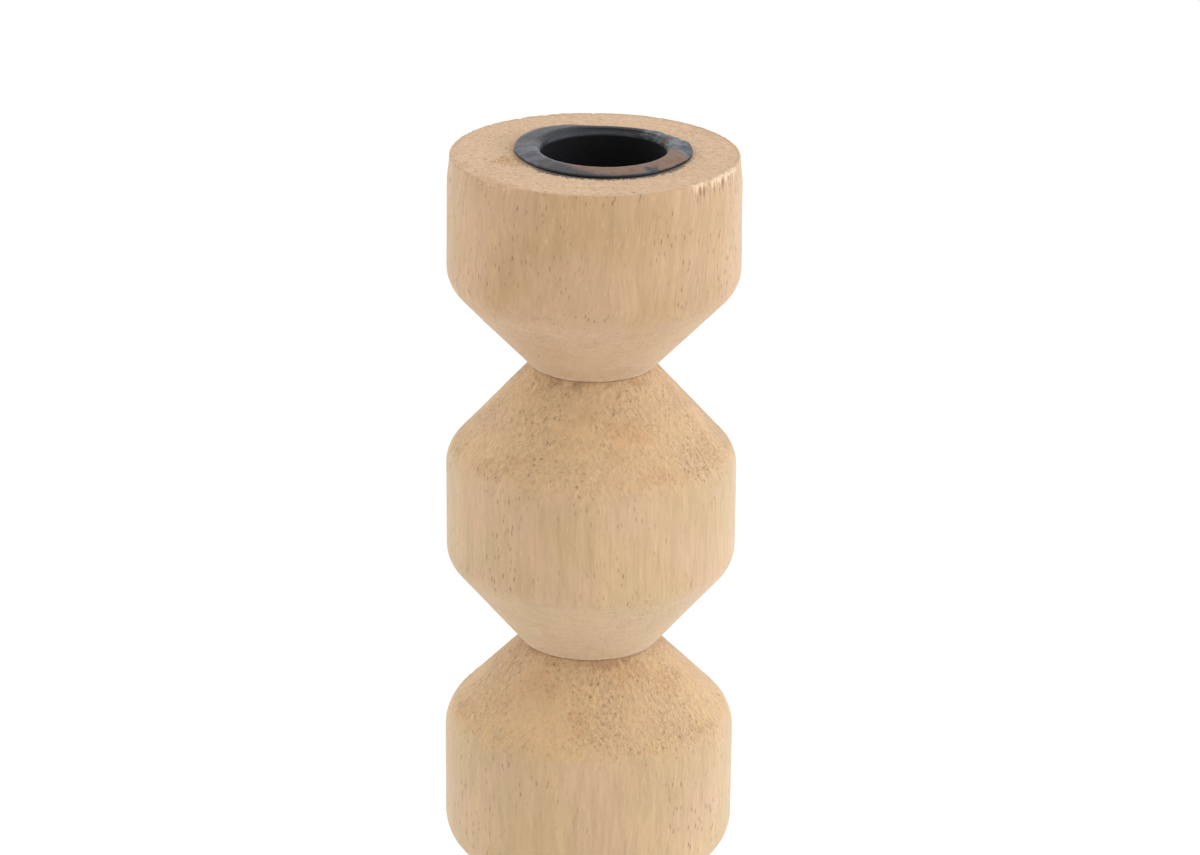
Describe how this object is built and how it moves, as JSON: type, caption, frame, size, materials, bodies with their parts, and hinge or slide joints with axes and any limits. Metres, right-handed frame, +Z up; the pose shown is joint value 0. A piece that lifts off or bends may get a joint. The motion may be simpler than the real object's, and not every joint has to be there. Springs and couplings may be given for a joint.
{
  "type": "wooden candlestick",
  "caption": "Turned wooden candlestick of stacked double-cone beads, with a black iron candle cup let into its flat top and a felt disc under its foot.",
  "frame": {"origin": "centre of the underside of the felt disc, where the turning axis meets the surface it stands on", "axes": "+Z up along the turning axis, +X towards the side to which the cup is set off centre"},
  "size_m": [0.0526, 0.0526, 0.1868],
  "materials": {
    "turned_wood": "raw, dry, open-pored",
    "dowel_wood": "raw, smooth",
    "blackened_iron": "blackened, worn brown on the lip",
    "felt": "matt"
  },
  "bodies": {
    "root": {"top_bead": "turned_wood", "upper_bead": "turned_wood", "lower_bead": "turned_wood", "foot_bead": "turned_wood", "top_dowel": "dowel_wood", "middle_dowel": "dowel_wood", "bottom_dowel": "dowel_wood", "candle_cup": "blackened_iron", "foot_felt": "felt"}
  },
  "joints": []
}
